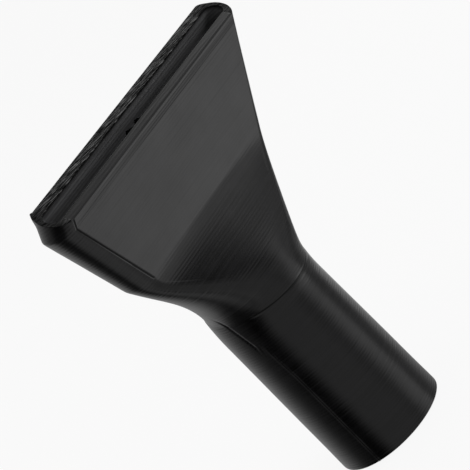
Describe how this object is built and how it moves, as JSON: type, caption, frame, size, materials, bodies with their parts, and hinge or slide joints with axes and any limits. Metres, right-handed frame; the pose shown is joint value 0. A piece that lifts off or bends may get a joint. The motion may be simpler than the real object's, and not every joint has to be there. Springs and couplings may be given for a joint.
{
  "type": "vacuum upholstery nozzle",
  "caption": "Upholstery nozzle for a vacuum cleaner, printed in one piece: a round socket, a slight elbow and a flat fan that ends in a wide slanted slot.",
  "frame": {"origin": "centre of the round socket's open end", "axes": "+Z along the socket's axis into the nozzle, +X along the wide mouth, -Y towards the side that the mouth leans to"},
  "size_m": [0.106, 0.0465, 0.1354],
  "materials": {
    "printed_plastic": "satin"
  },
  "bodies": {
    "root": {"nozzle": "printed_plastic"}
  },
  "joints": []
}
